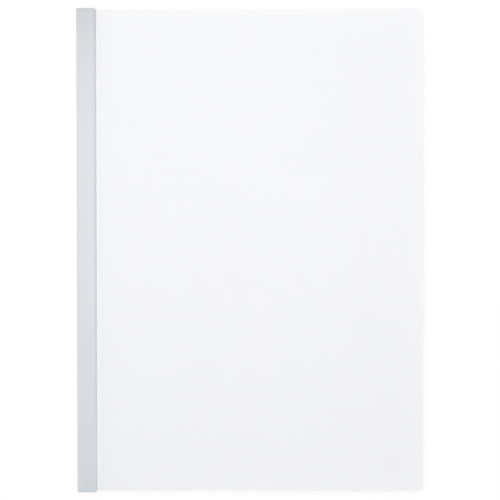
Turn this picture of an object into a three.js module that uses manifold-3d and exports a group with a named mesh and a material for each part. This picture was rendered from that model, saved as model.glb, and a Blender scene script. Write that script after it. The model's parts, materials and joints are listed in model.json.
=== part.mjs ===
// A4 clip folder, closed and empty, lying on its back cover.
// One sheet of milky polypropylene is folded at the spine, and an extruded plastic slide bar,
// pushed on from the end, pinches the two layers beside the fold between its toothed lips.
// Millimetres. +X runs from the bar to the free edges, +Y along the bar, +Z up from the table.
// The origin is the middle of the footprint, on the table.
//
// Sections are drawn as (x, z), with x = 0 at the back of the bar and z = 0 on the table,
// and run along Y. Everything is moved to the origin at the end.

import * as THREE from "three";
import { mergeVertices } from "three/addons/utils/BufferGeometryUtils.js";
import Module from "manifold-3d";

// Cover sheet
const coverHeight = 308.5; // along the bar
const leafWidth = 219.5; // from the fold to the free edge
const sheetThickness = 0.3;
const freeCornerRadius = 3.5;
const layerGap = 0.1; // between the two layers, where the bar holds them

// Slide bar
const barWidth = 12.5; // from its back to its mouth
const barThickness = 6;
const barOverhang = 0.75; // past each end of the cover
const backWall = 1.4;
const sideWall = 1.1;
const backCornerRadius = 1.2;
const noseRadius = 2; // rounds each lip down to the mouth
const mouthRadius = 0.5; // lead-in at the edge of each lip
const lipDepth = 3.4; // how far the lips reach in from the mouth
const cavityFillet = 0.6;
const jawClearance = 0.1; // between a lip and the sheet

// Teeth along the lips
const toothCount = 3;
const toothPitch = 0.8;
const toothDepth = 0.3;

// Slanted ends of the lips, which lead the bar on over the sheet
const endLeadIn = 0.7; // across the bar
const endLeadInLength = 2; // along the bar
const endCornerRadius = 0.3; // at the back of the bar

// Fold inside the bar
const foldRadius = 1.2; // outside of the loop that the fold makes
const foldClearance = 0.5; // between the loop and the back wall

// Leaves outside the bar
const creaseDistance = 3; // from the mouth to the scored crease of the front cover
const creaseGap = 0.3; // open width of the crease, between its two edges
const sinkLength = 115; // over which a leaf comes down from the mouth to the table
const freeEdgeLift = 3.2; // how far the front cover springs open at its free edge

// Smoothness
const arcSteps = 8; // per quarter turn or so
const sinkSteps = 24;

// Sizes that follow
const midPlane = barThickness / 2;
const barLength = coverHeight + 2 * barOverhang;
const jawHalfGap = sheetThickness + layerGap / 2 + jawClearance;
const cavityHalfHeight = midPlane - sideWall;
const foldBack = backWall + foldClearance;
const freeEdge = foldBack + leafWidth;
const crease = barWidth + creaseDistance;
const layerOffset = (layerGap + sheetThickness) / 2; // from the mid-plane to a layer's middle
const sinkHeight = midPlane - layerOffset - sheetThickness / 2; // from the gripped layer to the table

const wasm = await Module();
wasm.setup();

// A closed mesh as a solid that can be cut.
function toSolid(geometry) {
  const bare = geometry.clone();
  bare.deleteAttribute("normal");
  bare.deleteAttribute("uv");
  const merged = mergeVertices(bare, 1e-4);
  return new wasm.Manifold(
    new wasm.Mesh({
      numProp: 3,
      vertProperties: merged.getAttribute("position").array,
      triVerts: new Uint32Array(merged.index.array),
    }),
  );
}

function toGeometry(solid) {
  const mesh = solid.getMesh();
  const geometry = new THREE.BufferGeometry();
  geometry.setAttribute("position", new THREE.BufferAttribute(mesh.vertProperties, 3));
  geometry.setIndex(new THREE.BufferAttribute(mesh.triVerts, 1));
  const faceted = geometry.toNonIndexed();
  faceted.computeVertexNormals();
  return faceted;
}

// A section in (x, z), run along Y and centred on it.
function alongBar(points, length) {
  const geometry = new THREE.ExtrudeGeometry(new THREE.Shape(points), {
    depth: length,
    bevelEnabled: false,
  });
  geometry.rotateX(Math.PI / 2);
  geometry.translate(0, length / 2, 0);
  return geometry;
}

// An outline in (x, y), stood up as a prism that reaches past everything above and below.
function planPrism(shape) {
  const reach = barThickness + freeEdgeLift; // up and down from the mid-plane
  const geometry = new THREE.ExtrudeGeometry(shape, {
    depth: 2 * reach,
    bevelEnabled: false,
    curveSegments: arcSteps,
  });
  geometry.translate(0, 0, midPlane - reach);
  return geometry;
}

function cutToPlan(sectionSolid, planShape) {
  return toGeometry(toSolid(sectionSolid).intersect(toSolid(planPrism(planShape))));
}

// Slide bar

// One half of the bar's section, below the mid-plane, from the middle of its back round the
// outside, in at the mouth, over the teeth, round the cavity and back to the middle of the
// back wall. z is measured from the mid-plane.
function halfBarSection() {
  const half = barThickness / 2;
  const nose = Math.min(noseRadius, half - jawHalfGap - mouthRadius);
  const backCorner = Math.min(backCornerRadius, half);
  const lipBack = barWidth - lipDepth;
  const slope = cavityHalfHeight - jawHalfGap; // the back of a lip falls as far as it runs back
  const path = new THREE.Path();

  path.moveTo(0, 0);
  path.lineTo(0, -half + backCorner);
  path.absarc(backCorner, -half + backCorner, backCorner, Math.PI, 1.5 * Math.PI);
  path.absarc(barWidth - nose, -half + nose, nose, -Math.PI / 2, 0);
  path.absarc(
    barWidth - mouthRadius,
    -jawHalfGap - mouthRadius,
    mouthRadius,
    0,
    Math.PI / 2,
  );

  const firstTooth = barWidth - mouthRadius;
  for (let i = 0; i < toothCount; i++) {
    const tip = firstTooth - i * toothPitch;
    path.lineTo(tip - toothPitch / 4, -jawHalfGap);
    path.lineTo(tip - toothPitch / 2, -jawHalfGap - toothDepth);
    path.lineTo(tip - toothPitch, -jawHalfGap);
  }

  path.lineTo(lipBack, -jawHalfGap);
  path.quadraticCurveTo(
    lipBack - slope / 2,
    -jawHalfGap - slope / 4,
    lipBack - slope / 2,
    -jawHalfGap - slope / 2,
  );
  path.quadraticCurveTo(
    lipBack - slope / 2,
    -cavityHalfHeight,
    lipBack - slope,
    -cavityHalfHeight,
  );
  path.absarc(
    backWall + cavityFillet,
    -cavityHalfHeight + cavityFillet,
    cavityFillet,
    -Math.PI / 2,
    -Math.PI,
    true,
  );
  path.lineTo(backWall, 0);
  return path.getPoints(arcSteps / 2);
}

function barSection() {
  const lower = halfBarSection();
  const upper = lower
    .slice(1, -1)
    .reverse()
    .map((p) => new THREE.Vector2(p.x, -p.y));
  return [...lower, ...upper].map((p) => new THREE.Vector2(p.x, midPlane + p.y));
}

// The bar seen from above: its mouth side slants away at both ends.
function barPlan() {
  const end = barLength / 2;
  const r = endCornerRadius;
  const shape = new THREE.Shape();
  shape.moveTo(0, -end + r);
  shape.absarc(r, -end + r, r, Math.PI, 1.5 * Math.PI);
  shape.absellipse(
    barWidth - endLeadIn,
    -end + endLeadInLength,
    endLeadIn,
    endLeadInLength,
    -Math.PI / 2,
    0,
  );
  shape.absellipse(
    barWidth - endLeadIn,
    end - endLeadInLength,
    endLeadIn,
    endLeadInLength,
    0,
    Math.PI / 2,
  );
  shape.absarc(r, end - r, r, Math.PI / 2, Math.PI);
  return shape;
}

// Cover

// How far a leaf has come down at a distance x from the back of the bar: level at the mouth,
// and laid down on the table without a kink, as a heavy springy strip does.
function sink(x) {
  const share = THREE.MathUtils.clamp((x - barWidth) / sinkLength, 0, 1);
  return sinkHeight * (6 * share ** 2 - 8 * share ** 3 + 3 * share ** 4);
}

// How far the front cover springs open: it leaves the crease at a slant, and its weight
// bends it level again towards the free edge.
function lift(x) {
  const share = (x - crease) / (freeEdge - crease);
  return freeEdgeLift * (1 - (1 - share) ** 2);
}

const backLeafMiddle = (x) => midPlane - layerOffset - sink(x);
const stripMiddle = (x) => midPlane + layerOffset - sink(x);
const frontLeafMiddle = (x) => stripMiddle(x) + lift(x);

// Points of a height function at even steps from one x to another.
function sampled(heightAt, from, to, steps) {
  const points = [];
  for (let i = 0; i <= steps; i++) {
    const x = THREE.MathUtils.lerp(from, to, i / steps);
    points.push(new THREE.Vector2(x, heightAt(x)));
  }
  return points;
}

// The outline of a sheet of the cover's thickness whose middle follows the points.
function sheetAlong(points) {
  const side = [[], []];
  points.forEach((p, i) => {
    const before = points[Math.max(i - 1, 0)];
    const after = points[Math.min(i + 1, points.length - 1)];
    const into = p.clone().sub(before).normalize();
    const out = after.clone().sub(p).normalize();
    const along = into.clone().add(out).normalize();
    const normal = new THREE.Vector2(-along.y, along.x);
    const straightness = i > 0 && i < points.length - 1 ? along.dot(out) : 1;
    const offset = normal.multiplyScalar(sheetThickness / 2 / straightness);
    side[0].push(p.clone().add(offset));
    side[1].push(p.clone().sub(offset));
  });
  return [...side[0], ...side[1].reverse()];
}

// The fold inside the bar, from the lower layer round to the upper one: a loop that closes to
// the two parallel layers like the neck of a drop. The round's tangent meets a layer's line at
// the neck, and the neck's curve takes equal lengths of both.
function foldLoop() {
  const radius = foldRadius - sheetThickness / 2;
  const centre = foldBack + foldRadius;
  const leave = Math.PI / 3; // where the neck leaves the round, from the mouth's direction
  const edgeX = centre + radius * Math.cos(leave);
  const edgeZ = radius * Math.sin(leave);
  const tangent = (edgeZ - layerOffset) / Math.cos(leave);
  const neck = edgeX + tangent * Math.sin(leave);
  const path = new THREE.Path();
  path.moveTo(neck + tangent, -layerOffset);
  path.quadraticCurveTo(neck, -layerOffset, edgeX, -edgeZ);
  path.absarc(centre, 0, radius, -leave, leave - 2 * Math.PI, true);
  path.quadraticCurveTo(neck, layerOffset, neck + tangent, layerOffset);
  return path.getPoints(arcSteps).map((p) => new THREE.Vector2(p.x, midPlane + p.y));
}

// The back leaf, the fold and the front strip up to the crease, in one piece.
function backCoverSection() {
  const touchDown = barWidth + sinkLength;
  const leafEdge = new THREE.Vector2(freeEdge, backLeafMiddle(freeEdge));
  return sheetAlong([
    leafEdge,
    ...sampled(backLeafMiddle, touchDown, barWidth, sinkSteps),
    ...foldLoop(),
    ...sampled(stripMiddle, barWidth, crease - creaseGap / 2, 2),
  ]);
}

// The front leaf, from its side of the crease to its free edge.
function frontCoverSection() {
  return sheetAlong(
    sampled(frontLeafMiddle, crease + creaseGap / 2, freeEdge, 2 * sinkSteps),
  );
}

// A leaf seen from above: square at the spine, rounded at its two free corners.
function leafPlan() {
  const end = coverHeight / 2;
  const r = freeCornerRadius;
  const shape = new THREE.Shape();
  shape.moveTo(0, -end);
  shape.lineTo(freeEdge - r, -end);
  shape.absarc(freeEdge - r, -end + r, r, -Math.PI / 2, 0);
  shape.absarc(freeEdge - r, end - r, r, 0, Math.PI / 2);
  shape.lineTo(0, end);
  return shape;
}

// Materials: a satin grey-blue bar and a milky, nearly white sheet

const barPlastic = new THREE.MeshStandardMaterial({
  color: 0xd3dae1,
  roughness: 0.42,
  metalness: 0,
});

const coverPlastic = new THREE.MeshStandardMaterial({
  color: 0xf4f6f7,
  roughness: 0.5,
  metalness: 0,
});

// Assembly

function piece(name, geometry, material) {
  const mesh = new THREE.Mesh(geometry, material);
  mesh.name = name;
  mesh.position.x = -freeEdge / 2;
  return mesh;
}

const bar = cutToPlan(alongBar(barSection(), barLength), barPlan());
const backCover = cutToPlan(alongBar(backCoverSection(), coverHeight), leafPlan());
const frontCover = cutToPlan(alongBar(frontCoverSection(), coverHeight), leafPlan());

const folder = new THREE.Group();
folder.add(
  piece("slide_bar", bar, barPlastic),
  piece("back_cover", backCover, coverPlastic),
  piece("front_cover", frontCover, coverPlastic),
);

export default folder;
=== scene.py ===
import json
import math

import bpy
import numpy as np
from mathutils import Matrix, Vector


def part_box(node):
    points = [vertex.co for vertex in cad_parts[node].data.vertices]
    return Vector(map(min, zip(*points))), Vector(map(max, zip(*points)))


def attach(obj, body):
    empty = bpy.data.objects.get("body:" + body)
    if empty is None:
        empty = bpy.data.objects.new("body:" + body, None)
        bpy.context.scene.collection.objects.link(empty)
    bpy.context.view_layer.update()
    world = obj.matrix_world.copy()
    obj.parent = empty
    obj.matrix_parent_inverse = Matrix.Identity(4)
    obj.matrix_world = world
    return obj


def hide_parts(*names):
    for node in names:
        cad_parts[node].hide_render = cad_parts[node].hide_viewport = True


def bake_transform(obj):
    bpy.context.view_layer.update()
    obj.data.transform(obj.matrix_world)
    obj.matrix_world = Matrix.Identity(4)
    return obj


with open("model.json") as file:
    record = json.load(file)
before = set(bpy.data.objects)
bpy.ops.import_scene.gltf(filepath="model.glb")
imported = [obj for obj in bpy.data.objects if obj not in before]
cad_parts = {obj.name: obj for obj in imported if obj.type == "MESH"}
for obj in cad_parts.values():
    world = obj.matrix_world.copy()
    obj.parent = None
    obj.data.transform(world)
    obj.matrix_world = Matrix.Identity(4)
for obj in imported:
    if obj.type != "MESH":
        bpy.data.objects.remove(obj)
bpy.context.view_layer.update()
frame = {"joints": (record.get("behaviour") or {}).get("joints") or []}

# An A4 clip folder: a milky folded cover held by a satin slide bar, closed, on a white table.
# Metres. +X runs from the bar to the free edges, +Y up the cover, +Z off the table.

mm = 0.001
samePlace = 1e-7  # points nearer than this are one point
scene = bpy.context.scene

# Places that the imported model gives
barLow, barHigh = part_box("slide_bar")
backLow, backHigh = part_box("back_cover")
hinge = next(j for j in frame["joints"] if j["name"] == "front_cover_hinge")
barBack = barLow.x
mouth = barHigh.x
barHalfLength = barHigh.y
midPlane = (barLow.z + barHigh.z) / 2
freeEdge = backHigh.x - 0.01 * mm
coverHalfHeight = backHigh.y
creaseX = hinge["pos_m"][0]
print("frame loaded: bar", round((mouth - barBack) / mm, 2), "mm wide")


# Curves and meshes

def arc(centre, radius, start, end, steps):
    # Points of a circle about centre, from one angle to another in degrees
    angle = np.radians(np.linspace(start, end, steps + 1))
    return np.column_stack([centre[0] + radius * np.cos(angle), centre[1] + radius * np.sin(angle)])


def quadCurve(first, control, last, steps):
    # (1-t)^2 first + 2t(1-t) control + t^2 last
    t = np.linspace(0, 1, steps + 1)[:, None]
    first, control, last = (np.array(p, float) for p in (first, control, last))
    return (1 - t) ** 2 * first + 2 * t * (1 - t) * control + t ** 2 * last


def joined(*parts):
    # Stretches one after another, with each point that two of them share kept once
    points = np.vstack([np.atleast_2d(p) for p in parts])
    step = np.hypot(*np.diff(points, axis=0).T)
    return points[np.concatenate([[True], step > samePlace])]


def arcLength(points):
    return np.concatenate([[0], np.cumsum(np.hypot(*np.diff(points, axis=0).T))])


def gridFaces(rows, columns, closed=False):
    # Quads between neighbouring rows and columns; closed joins the last row to the first
    index = np.arange(rows * columns).reshape(rows, columns)
    if closed:
        index = np.vstack([index, index[:1]])
    corners = [index[:-1, :-1], index[1:, :-1], index[1:, 1:], index[:-1, 1:]]
    return np.stack(corners, -1).reshape(-1, 4)


def makeMesh(name, points, faces, uv=None):
    mesh = bpy.data.meshes.new(name)
    mesh.from_pydata(points.reshape(-1, 3), [], [tuple(f) for f in faces])
    mesh.update()
    if uv is not None:
        loops = np.empty(len(mesh.loops), np.int32)
        mesh.loops.foreach_get("vertex_index", loops)
        layer = mesh.uv_layers.new(name="sheetUV")
        layer.data.foreach_set("uv", uv.reshape(-1, 2)[loops].astype(np.float32).ravel())
    piece = bpy.data.objects.new(name, mesh)
    scene.collection.objects.link(piece)
    return piece


def pointValue(piece, name, values):
    attribute = piece.data.attributes.new(name, "FLOAT", "POINT")
    attribute.data.foreach_set("value", values.astype(np.float32).ravel())


def smoothBelow(piece, degrees):
    # Smooth shading, with edges sharper than the angle kept crisp
    piece.data.shade_smooth()
    piece.data.set_sharp_from_angle(angle=math.radians(degrees))


# Shader node groups that both plastics use

def newGroup(name, inputs, outputs):
    group = bpy.data.node_groups.new(name, "ShaderNodeTree")
    for label, kind, value in inputs:
        socket = group.interface.new_socket(label, in_out="INPUT", socket_type=kind)
        if value is not None:
            socket.default_value = value
    for label, kind in outputs:
        group.interface.new_socket(label, in_out="OUTPUT", socket_type=kind)
    return group, group.nodes.new("NodeGroupInput"), group.nodes.new("NodeGroupOutput")


def mathNode(tree, operation, *values, clamp=False):
    node = tree.nodes.new("ShaderNodeMath")
    node.operation = operation
    node.use_clamp = clamp
    for socket, value in zip(node.inputs, values):
        if isinstance(value, (int, float)):
            socket.default_value = value
        else:
            tree.links.new(value, socket)
    return node.outputs[0]


def noiseNode(tree, vector, scale, detail):
    node = tree.nodes.new("ShaderNodeTexNoise")
    node.inputs["Detail"].default_value = detail
    tree.links.new(vector, node.inputs["Vector"])
    if isinstance(scale, (int, float)):
        node.inputs["Scale"].default_value = scale
    else:
        tree.links.new(scale, node.inputs["Scale"])
    return node.outputs["Fac"]


def makeSkinGroup():
    # The skin of cooled plastic: slow cloudy patches, and a fine pebble, each about 0
    group, given, put = newGroup(
        "plasticSkin",
        [("Vector", "NodeSocketVector", None), ("Cloud Scale", "NodeSocketFloat", 20.0),
         ("Pebble Scale", "NodeSocketFloat", 900.0)],
        [("Cloud", "NodeSocketFloat"), ("Pebble", "NodeSocketFloat")],
    )
    cloud = noiseNode(group, given.outputs["Vector"], given.outputs["Cloud Scale"], 3.0)
    pebble = noiseNode(group, given.outputs["Vector"], given.outputs["Pebble Scale"], 1.0)
    group.links.new(mathNode(group, "SUBTRACT", cloud, 0.5), put.inputs["Cloud"])
    group.links.new(mathNode(group, "SUBTRACT", pebble, 0.5), put.inputs["Pebble"])
    return group


skinGroup = makeSkinGroup()


def newMaterial(name):
    material = bpy.data.materials.new(name)
    material.use_nodes = True
    tree = material.node_tree
    tree.nodes.clear()
    shader = tree.nodes.new("ShaderNodeBsdfPrincipled")
    output = tree.nodes.new("ShaderNodeOutputMaterial")
    tree.links.new(shader.outputs[0], output.inputs["Surface"])
    return material, tree, shader


def setScattering(shader, look):
    # Light goes a little way through both plastics
    shader.inputs["Subsurface Weight"].default_value = look["subsurface"]
    shader.inputs["Subsurface Radius"].default_value = (1, 1, 1)
    shader.inputs["Subsurface Scale"].default_value = look["subsurfaceScale"]


def placeGroup(tree, group, vector, **values):
    # The group in a material; Cloud_Scale=14 sets its input Cloud Scale
    node = tree.nodes.new("ShaderNodeGroup")
    node.node_tree = group
    tree.links.new(vector, node.inputs["Vector"])
    for label, value in values.items():
        node.inputs[label.replace("_", " ")].default_value = value
    return node


def attributeNode(tree, name):
    node = tree.nodes.new("ShaderNodeAttribute")
    node.attribute_name = name
    return node.outputs["Fac"]


def tinted(tree, colour, factor):
    # A colour multiplied by a grey factor that changes over the surface
    node = tree.nodes.new("ShaderNodeVectorMath")
    node.operation = "SCALE"
    node.inputs[0].default_value = colour
    tree.links.new(factor, node.inputs["Scale"])
    return node.outputs[0]


def bumpNode(tree, height, distance):
    node = tree.nodes.new("ShaderNodeBump")
    node.inputs["Strength"].default_value = 1
    node.inputs["Distance"].default_value = distance
    tree.links.new(height, node.inputs["Height"])
    return node.outputs[0]


# Cover

cover = {
    "thickness": 0.3 * mm,
    "layerGap": 0.1 * mm,  # between the layers in the bar's grip
    "backWall": 1.4 * mm,  # of the bar, which the fold keeps clear of
    "foldClearance": 0.5 * mm,
    "foldRadius": 1.2 * mm,
    "foldLeave": 60,  # degrees from the mouth's direction, where the fold's neck begins
    "seamReach": 8 * mm,  # from the bar's back to where the two modelled sheets meet, in its grip
    "cornerRadius": 3.5 * mm,
    "sinkLength": 115 * mm,
    "freeEdgeLift": 3.2 * mm,
    "scoreDepth": 0.1 * mm,
    "scoreSpread": 0.65 * mm,  # from the middle of the crease to each of the two score lines
    "scoreShift": -0.41 * mm,  # of that middle from the hinge line
    "scoreWidth": 0.22 * mm,
    "creaseZone": 0.4 * mm,  # half of the width over which the crease bends
    "creaseReach": 1.4 * mm,  # half of the width that is modelled finely for it
    "creaseSteps": 40,
    "mouthStripReach": 1.2 * mm,  # of the strip beside the mouth, painted lighter and made glossier
    "edgeRounding": 0.05 * mm,
    "edgeSteps": 2,
    "edgeAngle": 60,  # degrees, above which an edge is rounded
    "waveHeight": 0.16 * mm,
    "waveDrop": 0.4,  # in wave heights: the leaf lies this much lower, to make up for the waves
    # share of the height, radians in half the cover's height, radians a metre across, and phase
    "waves": [(0.6, 2.1, 0, 0.4), (0.3, 4.7, 9, 1.1), (0.25, 1.7, 46, 0)],
    "gripSteps": 11,
    "leafStart": 6 * mm,  # from the mouth, where the free leaf's even steps begin
    "leafSteps": 64,
    "cornerSteps": 10,
    "foldSteps": 40,
    "neckSteps": 12,
    # up the cover: distances from each end, and the number of even steps between them
    "endStations": np.array([0, 0.1, 0.25, 0.5, 1, 2, 3.5, 6, 10]) * mm,
    "heightSteps": 48,
}

# How far each layer's middle lies from the mid-plane, and how far the back leaf comes down
layerOffset = (cover["layerGap"] + cover["thickness"]) / 2
sinkHeight = midPlane - layerOffset - cover["thickness"] / 2


def sink(x):
    # How far a leaf has come down to the table: H (6 s^2 - 8 s^3 + 3 s^4), s from the mouth
    s = np.clip((x - mouth) / cover["sinkLength"], 0, 1)
    return sinkHeight * (6 * s ** 2 - 8 * s ** 3 + 3 * s ** 4)


def lift(x):
    # How far the front leaf springs open: L (1 - (1 - s)^2), s from the crease to the free edge
    s = np.clip((x - creaseX) / (freeEdge - creaseX), 0, 1)
    return cover["freeEdgeLift"] * (1 - (1 - s) ** 2)


def foldPath():
    # The drop-shaped loop in the bar, from the lower layer round to the upper one
    radius = cover["foldRadius"] - cover["thickness"] / 2
    centreX = barBack + cover["backWall"] + cover["foldClearance"] + cover["foldRadius"]
    leave = math.radians(cover["foldLeave"])
    edgeX = centreX + radius * math.cos(leave)
    edgeZ = radius * math.sin(leave)
    tangent = (edgeZ - layerOffset) / math.cos(leave)
    neck = edgeX + tangent * math.sin(leave)
    steps = cover["neckSteps"]
    loop = joined(
        quadCurve((neck + tangent, -layerOffset), (neck, -layerOffset), (edgeX, -edgeZ), steps),
        arc((centreX, 0), radius, -cover["foldLeave"], cover["foldLeave"] - 360, cover["foldSteps"]),
        quadCurve((edgeX, edgeZ), (neck, layerOffset), (neck + tangent, layerOffset), steps),
    )
    return loop + (0, midPlane)


def halfHeightAt(x):
    # Half of the cover's height, less towards the free edge, where a circle rounds the corner
    r = cover["cornerRadius"]
    into = np.clip(x - (freeEdge - r), 0, r)
    return coverHalfHeight - r + np.sqrt(r ** 2 - into ** 2)


def cornerStations():
    # x at even turns of the corner's circle, up to the free edge
    r = cover["cornerRadius"]
    turn = np.linspace(0, math.pi / 2, cover["cornerSteps"] + 1)
    return freeEdge - r + r * np.sin(turn)


def heightShares():
    # Shares of the half height, closer together near the two ends of the cover
    upper = 1 - cover["endStations"] / coverHalfHeight
    inner = np.linspace(-upper[-1], upper[-1], cover["heightSteps"] + 1)[1:-1]
    return np.concatenate([-upper, inner, upper[::-1]])


def leafWaves(x, y):
    # Slow unevenness of the free leaf, which grows with its lift:
    # the sum of share * sin(up * along + across * x + phase), along being y in half heights
    along = y / coverHalfHeight
    wave = -cover["waveDrop"]
    for share, up, across, phase in cover["waves"]:
        wave = wave + share * np.sin(up * along + across * x + phase)
    return cover["waveHeight"] * wave * lift(x) / cover["freeEdgeLift"]


def scoreLines(x):
    # Two fine lines pressed in beside the hinge line: exp(-((x - line) / width)^2) for each
    lines = creaseX + cover["scoreShift"] + cover["scoreSpread"] * np.array([-1, 1])
    return np.exp(-((np.asarray(x)[..., None] - lines) / cover["scoreWidth"]) ** 2).sum(-1)


def sheetPiece(name, path, isFront):
    # A thin sheet: the path (x, z) carried along Y, y = share * half height at x
    shares = heightShares()
    x = np.repeat(path[:, :1], len(shares), 1)
    z = np.repeat(path[:, 1:], len(shares), 1)
    y = shares[None, :] * halfHeightAt(path[:, 0])[:, None]
    if isFront:
        z = z + leafWaves(x, y)
    along = np.repeat(arcLength(path)[:, None], len(shares), 1)
    piece = makeMesh(name, np.stack([x, y, z], -1), gridFaces(*x.shape), np.stack([along, y], -1))
    # Distance to the cut edge, which carries the painted shade along the edges
    rim = np.minimum(halfHeightAt(x) - np.abs(y), freeEdge - x)
    pointValue(piece, "rim", rim)
    # The score lines again, for painted shade in their grooves
    pointValue(piece, "score", scoreLines(x) if isFront else 0 * x)
    # A strip beside the bar's mouth: painted light in the colour, and a glossier finish
    pointValue(piece, "mouthLightAndPolish", np.exp(-np.abs(x - mouth) / cover["mouthStripReach"]))
    return piece


def finishSheet(piece):
    # A wall of the sheet's thickness about its middle, with softened cut edges
    wall = piece.modifiers.new("wall", "SOLIDIFY")
    wall.thickness = cover["thickness"]
    wall.offset = 0
    wall.use_even_offset = True
    wall.use_quality_normals = True
    edge = piece.modifiers.new("cutEdge", "BEVEL")
    edge.width = cover["edgeRounding"]
    edge.segments = cover["edgeSteps"]
    edge.limit_method = "ANGLE"
    edge.angle_limit = math.radians(cover["edgeAngle"])
    edge.harden_normals = False
    piece.data.shade_smooth()


seamX = barBack + cover["seamReach"]
cornerStart = freeEdge - cover["cornerRadius"]
leafX = np.linspace(mouth + cover["leafStart"], cornerStart, cover["leafSteps"] + 1)
creaseStart = creaseX - cover["creaseReach"]
creaseEnd = creaseX + cover["creaseReach"]
frontX = np.concatenate([
    np.linspace(seamX, creaseStart, cover["gripSteps"] + 1),
    np.linspace(creaseStart, creaseEnd, cover["creaseSteps"] + 1)[1:],
    leafX,
    cornerStations()[1:],
])
frontZ = midPlane + layerOffset - sink(frontX) + lift(frontX)
frontZ -= cover["scoreDepth"] * scoreLines(frontX)
fold = foldPath()
frontPath = joined([[seamX, midPlane - layerOffset]], fold, np.column_stack([frontX, frontZ]))

gripX = np.linspace(seamX, mouth, cover["gripSteps"] + 1)
backX = np.concatenate([gripX, leafX, cornerStations()[1:]])
backZ = midPlane - layerOffset - sink(backX)
backPath = np.column_stack([backX, backZ])

frontCover = sheetPiece("frontCover", frontPath, True)
backCover = sheetPiece("backCover", backPath[::-1], False)
finishSheet(frontCover)
finishSheet(backCover)
print("cover made:", len(frontCover.data.vertices), "points in the front sheet")


def makeCoverMaterial():
    # Milky polypropylene with a fine diamond emboss, which follows the sheet
    look = {
        "colour": (0.907, 0.917, 0.935),
        "diamondPitch": 2.6 * mm,
        "diamondLean": 1.6,  # how much longer a diamond is up the cover than across it
        "diamondBlend": 0.4,  # how softly the ridges run into each other
        "diamondDepth": 0.012 * mm,
        # the emboss's hollows painted darker and its ridges lighter: painted shade of the relief
        "embossHollowShade": 0.017,
        "pebbleHeight": 0.5,  # against the ridges
        "cloudTint": 0.004,
        # a band along the cut edges painted darker: painted shade at the edges
        "rimWidth": 0.5 * mm,
        "rimShade": 0.035,
        # painted shade in the score lines' grooves
        "scoreShade": 0.05,
        # painted light on the strip beside the mouth
        "mouthPaintedLight": 0.06,
        "rubPolish": 0.15,
        "cloudScale": 14.0,
        "pebbleScale": 2600.0,
        "ior": 1.49,
        "roughness": 0.62,
        "roughnessChange": 0.1,
        "subsurface": 0.25,
        "subsurfaceScale": 0.6 * mm,
    }
    material, tree, shader = newMaterial("milkyPolypropylene")
    uv = tree.nodes.new("ShaderNodeUVMap")
    uv.uv_map = "sheetUV"
    split = tree.nodes.new("ShaderNodeSeparateXYZ")
    tree.links.new(uv.outputs[0], split.inputs[0])
    turn = 2 * math.pi / look["diamondPitch"]
    across = mathNode(tree, "MULTIPLY", split.outputs["X"], turn)
    up = mathNode(tree, "MULTIPLY", split.outputs["Y"], turn / look["diamondLean"])
    rising = mathNode(tree, "COSINE", mathNode(tree, "ADD", across, up))
    falling = mathNode(tree, "COSINE", mathNode(tree, "SUBTRACT", across, up))
    # 1 on the ridges, less inside each diamond
    relief = mathNode(tree, "SMOOTH_MAX", rising, falling, look["diamondBlend"])
    skin = placeGroup(tree, skinGroup, uv.outputs[0], Cloud_Scale=look["cloudScale"],
                      Pebble_Scale=look["pebbleScale"])
    rimShare = mathNode(tree, "DIVIDE", attributeNode(tree, "rim"), look["rimWidth"])
    rimShadeMask = mathNode(tree, "SUBTRACT", 1.0, rimShare, clamp=True)
    score = attributeNode(tree, "score")
    mouthLightAndPolish = attributeNode(tree, "mouthLightAndPolish")
    # Painted shade of the emboss: darker in its hollows, lighter on its ridges
    level = mathNode(tree, "MULTIPLY_ADD", relief, look["embossHollowShade"], 1.0)
    level = mathNode(tree, "MULTIPLY_ADD", skin.outputs["Cloud"], look["cloudTint"], level)
    # Painted shade: darker along the cut edges
    level = mathNode(tree, "MULTIPLY_ADD", rimShadeMask, -look["rimShade"], level)
    level = mathNode(tree, "MULTIPLY_ADD", score, -look["scoreShade"], level)
    # Painted shade in the score grooves
    level = mathNode(tree, "MULTIPLY_ADD", mouthLightAndPolish, look["mouthPaintedLight"], level)
    # Painted light beside the bar's mouth
    tree.links.new(tinted(tree, look["colour"], level), shader.inputs["Base Color"])
    rough = mathNode(tree, "MULTIPLY_ADD", skin.outputs["Cloud"], look["roughnessChange"],
                     look["roughness"])
    rough = mathNode(tree, "MULTIPLY_ADD", mouthLightAndPolish, -look["rubPolish"], rough)
    tree.links.new(rough, shader.inputs["Roughness"])
    height = mathNode(tree, "MULTIPLY_ADD", skin.outputs["Pebble"], look["pebbleHeight"], relief)
    tree.links.new(bumpNode(tree, height, look["diamondDepth"]), shader.inputs["Normal"])
    shader.inputs["IOR"].default_value = look["ior"]
    setScattering(shader, look)
    return material


coverMaterial = makeCoverMaterial()
for sheet in (frontCover, backCover):
    sheet.data.materials.append(coverMaterial)
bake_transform(frontCover)
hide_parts("front_cover")
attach(backCover, "back")
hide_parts("back_cover")
print("cover finished")


# Slide bar

bar = {
    "sideWall": 1.1 * mm,
    "backWall": 1.4 * mm,
    "backCorner": 1.2 * mm,
    "nose": 2 * mm,
    "mouthRounding": 0.5 * mm,
    "lipDepth": 3.4 * mm,
    "cavityFillet": 0.6 * mm,
    "jawClearance": 0.1 * mm,
    "toothCount": 3,
    "toothPitch": 0.8 * mm,
    "toothDepth": 0.3 * mm,
    "leadIn": 0.7 * mm,
    "leadInLength": 2 * mm,
    "flatStation": 3 * mm,  # from the bar's back, one more point on its flat sides
    "endRounding": 0.55 * mm,  # how deep the cut ends are rounded outside
    "endRoundingInside": 0.15,  # share of that depth in the cavity and the mouth
    "endRoundingLength": 1.2 * mm,
    "arcSteps": 10,
    "endSteps": 6,
    "endStations": np.array([3, 5, 8, 12]) * mm,
    "middleSteps": 59,
    # side, painted shade, and how far it reaches: the bar painted darker towards each end
    "paintedEndShades": [(1, 0.13, 25 * mm), (-1, 0.05, 8 * mm)],
}


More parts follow.
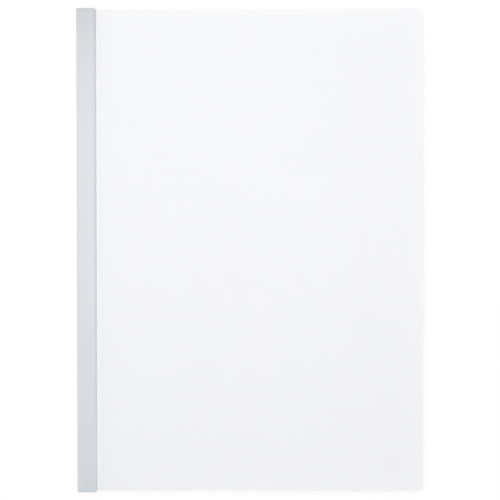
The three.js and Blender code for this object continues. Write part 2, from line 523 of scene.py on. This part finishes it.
def halfBarSection():
    # Below the mid-plane: back, outside, mouth, teeth, cavity, back wall. Also says what is outside
    half = midPlane - barLow.z
    jaw = cover["thickness"] + cover["layerGap"] / 2 + bar["jawClearance"]
    cavity = half - bar["sideWall"]
    r, corner, edge, fillet = bar["nose"], bar["backCorner"], bar["mouthRounding"], bar["cavityFillet"]
    steps = bar["arcSteps"]
    outside = joined(
        [[barBack, 0], [barBack, -0.5 * (half - corner)]],
        arc((barBack + corner, corner - half), corner, 180, 270, steps),
        [[barBack + bar["flatStation"], -half], [(barBack + mouth) / 2, -half]],
        arc((mouth - r, r - half), r, -90, 0, steps),
    )
    inside = [arc((mouth - edge, -jaw - edge), edge, 0, 90, steps)]
    for i in range(bar["toothCount"]):
        tip = mouth - edge - i * bar["toothPitch"]
        inside.append([
            [tip - bar["toothPitch"] / 4, -jaw],
            [tip - bar["toothPitch"] / 2, -jaw - bar["toothDepth"]],
            [tip - bar["toothPitch"], -jaw],
        ])
    lipBack = mouth - bar["lipDepth"]
    slope = cavity - jaw  # the back of a lip falls as far as it runs back
    halfWay = (lipBack - slope / 2, -jaw - slope / 2)
    inside += [
        quadCurve((lipBack, -jaw), (halfWay[0], -jaw - slope / 4), halfWay, steps),
        quadCurve(halfWay, (halfWay[0], -cavity), (lipBack - slope, -cavity), steps),
        arc((barBack + bar["backWall"] + fillet, fillet - cavity), fillet, -90, -180, steps),
        [[barBack + bar["backWall"], 0]],
    ]
    whole = joined(outside, *inside)
    return whole, np.arange(len(whole)) < len(outside)


def barSection():
    # The half section and its mirror image above the mid-plane
    lower, outer = halfBarSection()
    points = np.vstack([lower, lower[-2:0:-1] * (1, -1)])
    return points + (0, midPlane), np.concatenate([outer, outer[-2:0:-1]])


def sectionNormals(points):
    # Outwards, square to the line between the neighbours on each side
    along = np.roll(points, -1, 0) - np.roll(points, 1, 0)
    along /= np.maximum(np.hypot(*along.T), samePlace)[:, None]
    return np.column_stack([along[:, 1], -along[:, 0]])


def barPiece():
    # The section carried along Y, drawn in over the last stretch at each cut end by
    # rounding (1 - sin t) at roundingLength (1 - cos t) from the end, t from 0 to a right angle
    section, outer = barSection()
    normal = sectionNormals(section)
    rounding = bar["endRounding"]
    roundingLength = bar["endRoundingLength"]
    turn = np.linspace(0, math.pi / 2, bar["endSteps"] + 1)
    fromEnd = np.concatenate([
        roundingLength * (1 - np.cos(turn)),
        np.linspace(roundingLength, bar["leadInLength"], bar["endSteps"] + 1)[1:],
        bar["endStations"],
    ])
    drawn = np.concatenate([rounding * (1 - np.sin(turn)), np.zeros(len(fromEnd) - len(turn))])
    lastStation = barHalfLength - fromEnd[-1]
    middle = np.linspace(-lastStation, lastStation, bar["middleSteps"] + 1)[1:-1]
    y = np.concatenate([-barHalfLength + fromEnd, middle, (barHalfLength - fromEnd)[::-1]])
    draw = np.concatenate([drawn, np.zeros(len(middle)), drawn[::-1]])
    weight = np.where(outer, 1.0, bar["endRoundingInside"])
    x = section[:, :1] - normal[:, :1] * weight[:, None] * draw[None, :]
    z = section[:, 1:] - normal[:, 1:] * weight[:, None] * draw[None, :]
    distance = barHalfLength - np.abs(y)
    # The mouth's edges draw back by leadIn (1 - sqrt(1 - into^2)), where a sheet is led in
    into = np.clip(1 - distance / bar["leadInLength"], 0, 1)
    limit = mouth - bar["leadIn"] * (1 - np.sqrt(1 - into ** 2))
    x = np.minimum(x, (limit - draw)[None, :] + 0 * x)
    points = np.stack([x, np.repeat(y[None, :], len(section), 0), z], -1)
    faces = [tuple(f) for f in gridFaces(*x.shape, closed=True)[:, ::-1]]
    index = np.arange(x.size).reshape(x.shape)
    faces += [tuple(index[:, 0]), tuple(index[::-1, -1])]
    piece = makeMesh("slideBar", points, faces)
    pointValue(piece, "fromEnd", np.repeat(distance[None, :], len(section), 0))
    # Painted shade: the bar darker towards each end, more and further at the upper end
    paintedEndShade = np.zeros(len(y))
    for side, tint, reach in bar["paintedEndShades"]:
        paintedEndShade += tint * np.exp(-(barHalfLength - side * y) / reach)
    pointValue(piece, "paintedEndShade", np.repeat(paintedEndShade[None, :], len(section), 0))
    return piece


slideBar = barPiece()
smoothBelow(slideBar, 35)


def makeBarMaterial():
    # Satin extruded plastic: die lines along the bar, cloudy skin, a rougher and darker sawn end, and
    # painted shade towards both ends
    look = {
        "colour": (0.676, 0.7084, 0.7413),
        "dieLines": 1500.0,
        "dieStretch": 0.012,
        "dieDetail": 2.0,
        "dieDepth": 0.006 * mm,
        "cloudTint": 0.03,
        "lineTint": 0.012,
        "endDarkening": 0.07,  # darker within cutReach of each cut end
        "cutReach": 0.9 * mm,
        "cloudScale": 22.0,
        "pebbleScale": 4000.0,
        "ior": 1.5,
        "cutRoughness": 0.2,
        "roughness": 0.4,
        "lineRoughness": 0.15,
        "pebbleHeight": 0.4,  # against the die lines
        "subsurface": 0.6,
        "subsurfaceScale": 1.5 * mm,
    }
    material, tree, shader = newMaterial("satinBarPlastic")
    coordinates = tree.nodes.new("ShaderNodeTexCoord").outputs["Object"]
    stretch = tree.nodes.new("ShaderNodeMapping")
    stretch.inputs["Scale"].default_value = (1, look["dieStretch"], 1)
    tree.links.new(coordinates, stretch.inputs["Vector"])
    lines = noiseNode(tree, stretch.outputs[0], look["dieLines"], look["dieDetail"])
    lines = mathNode(tree, "SUBTRACT", lines, 0.5)
    skin = placeGroup(tree, skinGroup, coordinates, Cloud_Scale=look["cloudScale"],
                      Pebble_Scale=look["pebbleScale"])
    level = mathNode(tree, "MULTIPLY_ADD", skin.outputs["Cloud"], look["cloudTint"], 1.0)
    level = mathNode(tree, "MULTIPLY_ADD", lines, look["lineTint"], level)
    reach = mathNode(tree, "DIVIDE", attributeNode(tree, "fromEnd"), -look["cutReach"])
    cut = mathNode(tree, "EXPONENT", reach)
    # Darker within cutReach of each cut end
    level = mathNode(tree, "MULTIPLY_ADD", cut, -look["endDarkening"], level)
    # Painted shade towards the ends
    level = mathNode(tree, "SUBTRACT", level, attributeNode(tree, "paintedEndShade"))
    tree.links.new(tinted(tree, look["colour"], level), shader.inputs["Base Color"])
    rough = mathNode(tree, "MULTIPLY_ADD", lines, look["lineRoughness"], look["roughness"])
    rough = mathNode(tree, "MULTIPLY_ADD", cut, look["cutRoughness"], rough)
    tree.links.new(rough, shader.inputs["Roughness"])
    fine = mathNode(tree, "MULTIPLY_ADD", skin.outputs["Pebble"], look["pebbleHeight"], lines)
    tree.links.new(bumpNode(tree, fine, look["dieDepth"]), shader.inputs["Normal"])
    shader.inputs["IOR"].default_value = look["ior"]
    setScattering(shader, look)
    return material


slideBar.data.materials.append(makeBarMaterial())
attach(slideBar, "bar")
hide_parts("slide_bar")
print("bar finished:", len(slideBar.data.vertices), "points")


# Table, light and camera

studio = {
    "tableDrop": 0.05 * mm,
    "tableSize": 8.0,
    "tableColour": 0.95,
    "tableRoughness": 0.9,
    "tableShare": 0.3,  # how much of the table's own shading the camera sees, the rest being white
    "tableFade": 0.6,  # over this distance from the folder the share dies away
    "tableWhite": 1.05,
    "zenith": 0.42,  # strength of the sky overhead
    "horizon": 1.05,
    "fromLeft": 0.25,  # how much stronger the horizon is on the bar's side, and weaker on the other
    "lamps": {
        # place, aim, width, height in metres, and watts
        "softBox": ((-0.02, 0.05, 0.85), (-0.02, 0.05, 0), 0.7, 0.3, 3.1),
        "sideBox": ((-0.2, 0.8, 1.0), (0, 0, 0), 0.4, 0.4, 2.2),
    },
}


def lightPathShare(tree):
    # 1 for the rays that see the white table as a background: camera, glossy and transmission rays
    path = tree.nodes.new("ShaderNodeLightPath")
    seen = mathNode(tree, "MAXIMUM", path.outputs["Is Camera Ray"], path.outputs["Is Glossy Ray"])
    return mathNode(tree, "MAXIMUM", seen, path.outputs["Is Transmission Ray"])


def makeTable():
    size = studio["tableSize"]
    corner = np.array([[-size, -size], [size, -size], [size, size], [-size, size]]) / 2
    points = np.column_stack([corner, np.full(4, -studio["tableDrop"])])
    table = makeMesh("table", points, [(0, 1, 2, 3)])
    material, tree, shader = newMaterial("whiteTable")
    shader.inputs["Base Color"].default_value = (*[studio["tableColour"]] * 3, 1)
    shader.inputs["Roughness"].default_value = studio["tableRoughness"]
    shader.inputs["Specular IOR Level"].default_value = 0
    white = tree.nodes.new("ShaderNodeEmission")
    white.inputs["Strength"].default_value = studio["tableWhite"]
    mixed = tree.nodes.new("ShaderNodeMixShader")
    place = tree.nodes.new("ShaderNodeTexCoord").outputs["Object"]
    length = tree.nodes.new("ShaderNodeVectorMath")
    length.operation = "LENGTH"
    tree.links.new(place, length.inputs[0])
    # near = exp(-(distance / fade)^2)
    reach = mathNode(tree, "DIVIDE", length.outputs["Value"], studio["tableFade"])
    square = mathNode(tree, "MULTIPLY", reach, reach)
    near = mathNode(tree, "EXPONENT", mathNode(tree, "MULTIPLY", square, -1.0))
    plain = mathNode(tree, "MULTIPLY_ADD", near, -studio["tableShare"], 1.0)
    share = mathNode(tree, "MULTIPLY", lightPathShare(tree), plain)
    output = next(n for n in tree.nodes if n.type == "OUTPUT_MATERIAL")
    tree.links.new(share, mixed.inputs[0])
    tree.links.new(shader.outputs[0], mixed.inputs[1])
    tree.links.new(white.outputs[0], mixed.inputs[2])
    tree.links.new(mixed.outputs[0], output.inputs["Surface"])
    table.data.materials.append(material)


def makeSky():
    world = bpy.data.worlds.new("sky")
    world.use_nodes = True
    tree = world.node_tree
    background = tree.nodes["Background"]
    background.inputs["Color"].default_value = (1, 1, 1, 1)
    direction = tree.nodes.new("ShaderNodeSeparateXYZ")
    tree.links.new(tree.nodes.new("ShaderNodeTexCoord").outputs["Generated"], direction.inputs[0])
    low = mathNode(tree, "SUBTRACT", 1.0, mathNode(tree, "ABSOLUTE", direction.outputs["Z"]))
    low = mathNode(tree, "MULTIPLY", low, low)
    # zenith + (horizon - zenith - fromLeft x) (1 - |z|)^2, with x and z of the ray's direction
    rise = mathNode(tree, "MULTIPLY_ADD", direction.outputs["X"], -studio["fromLeft"],
                    studio["horizon"] - studio["zenith"])
    soft = mathNode(tree, "MULTIPLY_ADD", low, rise, studio["zenith"])
    seen = lightPathShare(tree)
    unseen = mathNode(tree, "MULTIPLY", soft, mathNode(tree, "SUBTRACT", 1.0, seen))
    tree.links.new(mathNode(tree, "ADD", unseen, seen), background.inputs["Strength"])
    scene.world = world


def makeLamp(name, place, aim, width, height, watts):
    light = bpy.data.lights.new(name, "AREA")
    light.shape = "RECTANGLE"
    light.size = width
    light.size_y = height
    light.energy = watts
    lamp = bpy.data.objects.new(name, light)
    lamp.location = place
    lamp.rotation_euler = (Vector(aim) - Vector(place)).to_track_quat("-Z", "Y").to_euler()
    lamp.visible_camera = False
    scene.collection.objects.link(lamp)


def makeCamera():
    # Looks down on the folder from the distance and the small tilt that the photograph has
    view = {
        "target": (0.18 * mm, 0.11 * mm, 3.0 * mm),
        "distance": 1.0,
        "towardsX": 0.779,  # degrees
        "towardsY": 0.638,
        "roll": -0.092,
        "lens": 112.37,
        "sensor": 36,
        "nearest": 10 * mm,
    }
    azimuth, elevation, roll = (math.radians(view[k]) for k in ("towardsX", "towardsY", "roll"))
    out = Vector((math.sin(azimuth) * math.cos(elevation), math.sin(elevation),
                  math.cos(azimuth) * math.cos(elevation)))
    right = Vector((0, 1, 0)).cross(out).normalized()
    up = out.cross(right)
    rolledRight = math.cos(roll) * right + math.sin(roll) * up
    rolledUp = math.cos(roll) * up - math.sin(roll) * right
    data = bpy.data.cameras.new("camera")
    data.lens = view["lens"]
    data.sensor_width = view["sensor"]
    data.sensor_fit = "HORIZONTAL"
    data.clip_start = view["nearest"]
    camera = bpy.data.objects.new("camera", data)
    turn = Matrix((rolledRight, rolledUp, out)).transposed()
    place = Vector(view["target"]) + view["distance"] * out
    camera.matrix_world = Matrix.Translation(place) @ turn.to_4x4()
    scene.collection.objects.link(camera)
    scene.camera = camera


makeTable()
makeSky()
for lampName, values in studio["lamps"].items():
    makeLamp(lampName, *values)
makeCamera()
scene.view_settings.view_transform = "Standard"
print("stage set")
